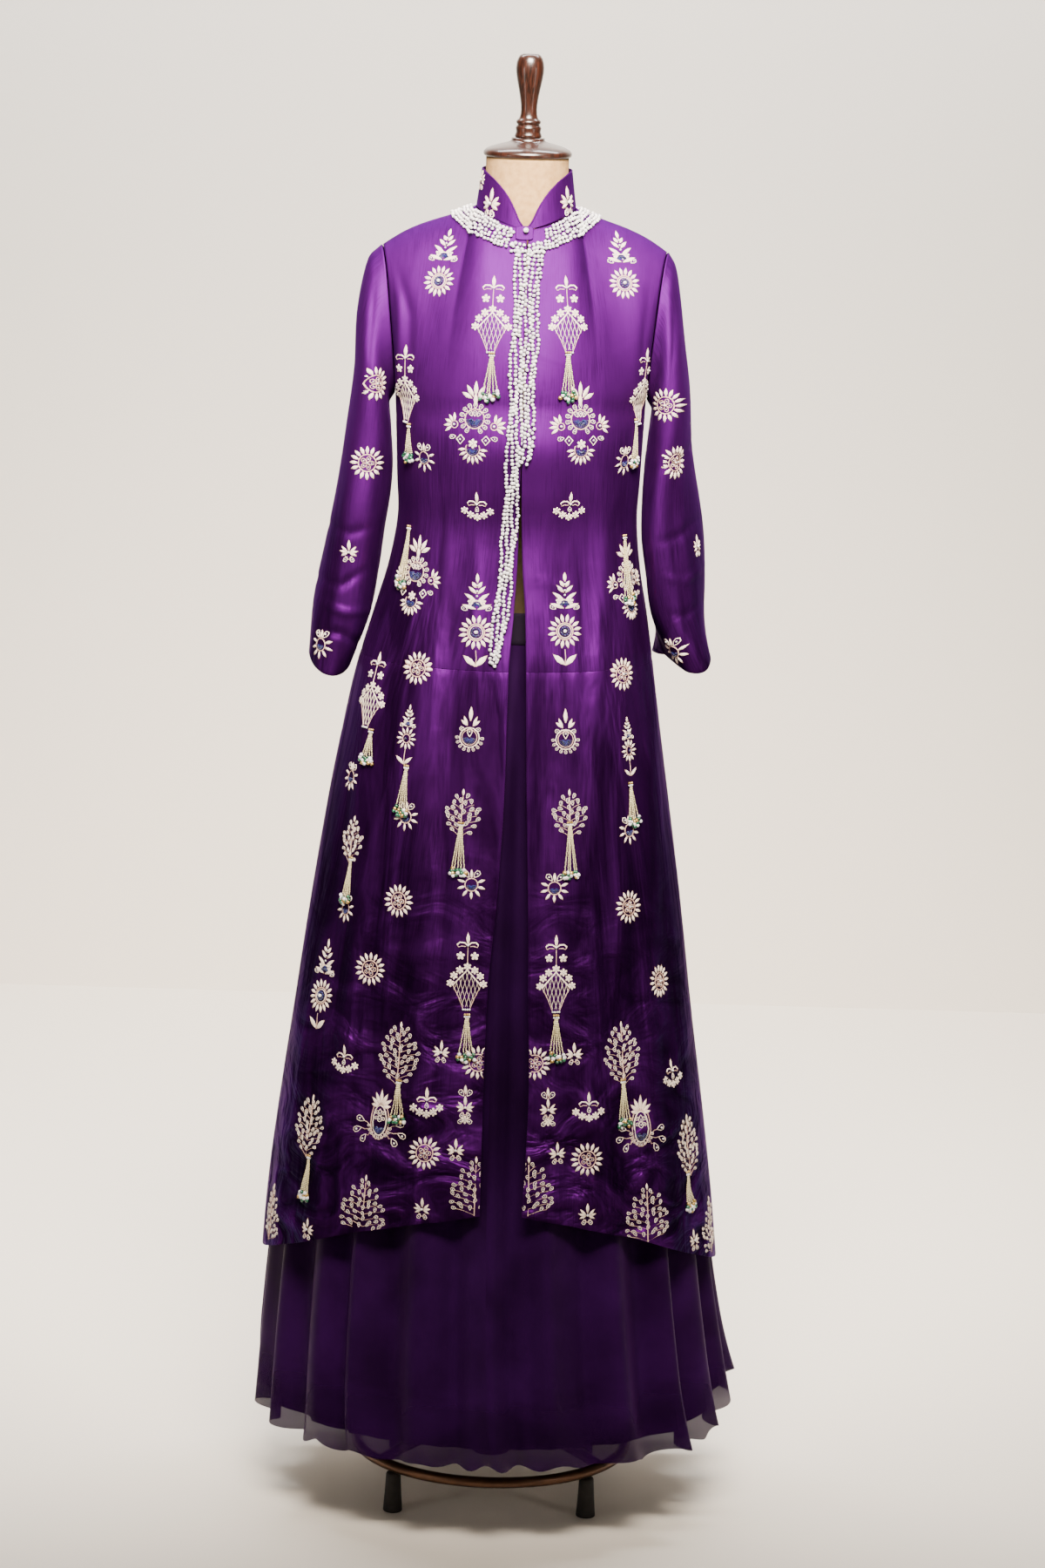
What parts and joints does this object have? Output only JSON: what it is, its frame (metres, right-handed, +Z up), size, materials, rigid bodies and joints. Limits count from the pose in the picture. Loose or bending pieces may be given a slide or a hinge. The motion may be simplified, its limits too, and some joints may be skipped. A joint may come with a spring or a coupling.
{
  "type": "jacket lehenga on dress form",
  "caption": "Long satin jacket with a standing collar, open from the waist over a two-layer flared skirt, pearl-edged and hung with beaded tassels, on a limbless dress form and stand.",
  "frame": {"origin": "on the floor at the middle of the whole part's box, under the form's pole", "axes": "+Z up along the pole; the garment faces -Y; +X is the wearer's left"},
  "size_m": [0.6102, 0.5529, 1.8166],
  "materials": {
    "satin": "satin",
    "georgette": "sheer matte",
    "crepe": "matte",
    "pearl": "pearl",
    "beads": "metallic thread and beads",
    "linen": "coarse weave",
    "dark_wood": "gloss lacquer",
    "bronze": "bronze, satin",
    "rubber": "matte"
  },
  "bodies": {
    "root": {"bodice_front_right": "satin", "bodice_front_left": "satin", "bodice_back": "satin", "jacket_skirt_right": "satin", "jacket_skirt_left": "satin", "jacket_skirt_back": "satin", "sleeve_right": "satin", "sleeve_left": "satin", "collar": "satin", "neck_tab": "satin", "neck_button": "pearl", "skirt_outer": "georgette", "skirt_lining": "crepe", "skirt_waistband": "crepe", "form_torso": "linen", "form_neck_cap": "dark_wood", "form_finial": "dark_wood", "stand_base": "bronze", "stand_pole": "bronze", "stand_foot_1": "rubber", "stand_foot_2": "rubber", "stand_foot_3": "rubber", "stand_foot_4": "rubber", "tassel_1": "beads", "tassel_2": "beads", "tassel_3": "beads", "tassel_4": "beads", "tassel_5": "beads", "tassel_6": "beads", "tassel_7": "beads", "tassel_8": "beads", "tassel_9": "beads", "tassel_10": "beads", "tassel_11": "beads", "tassel_12": "beads", "tassel_13": "beads", "tassel_14": "beads", "tassel_15": "beads", "tassel_16": "beads", "tassel_17": "beads", "tassel_18": "beads"}
  },
  "joints": []
}
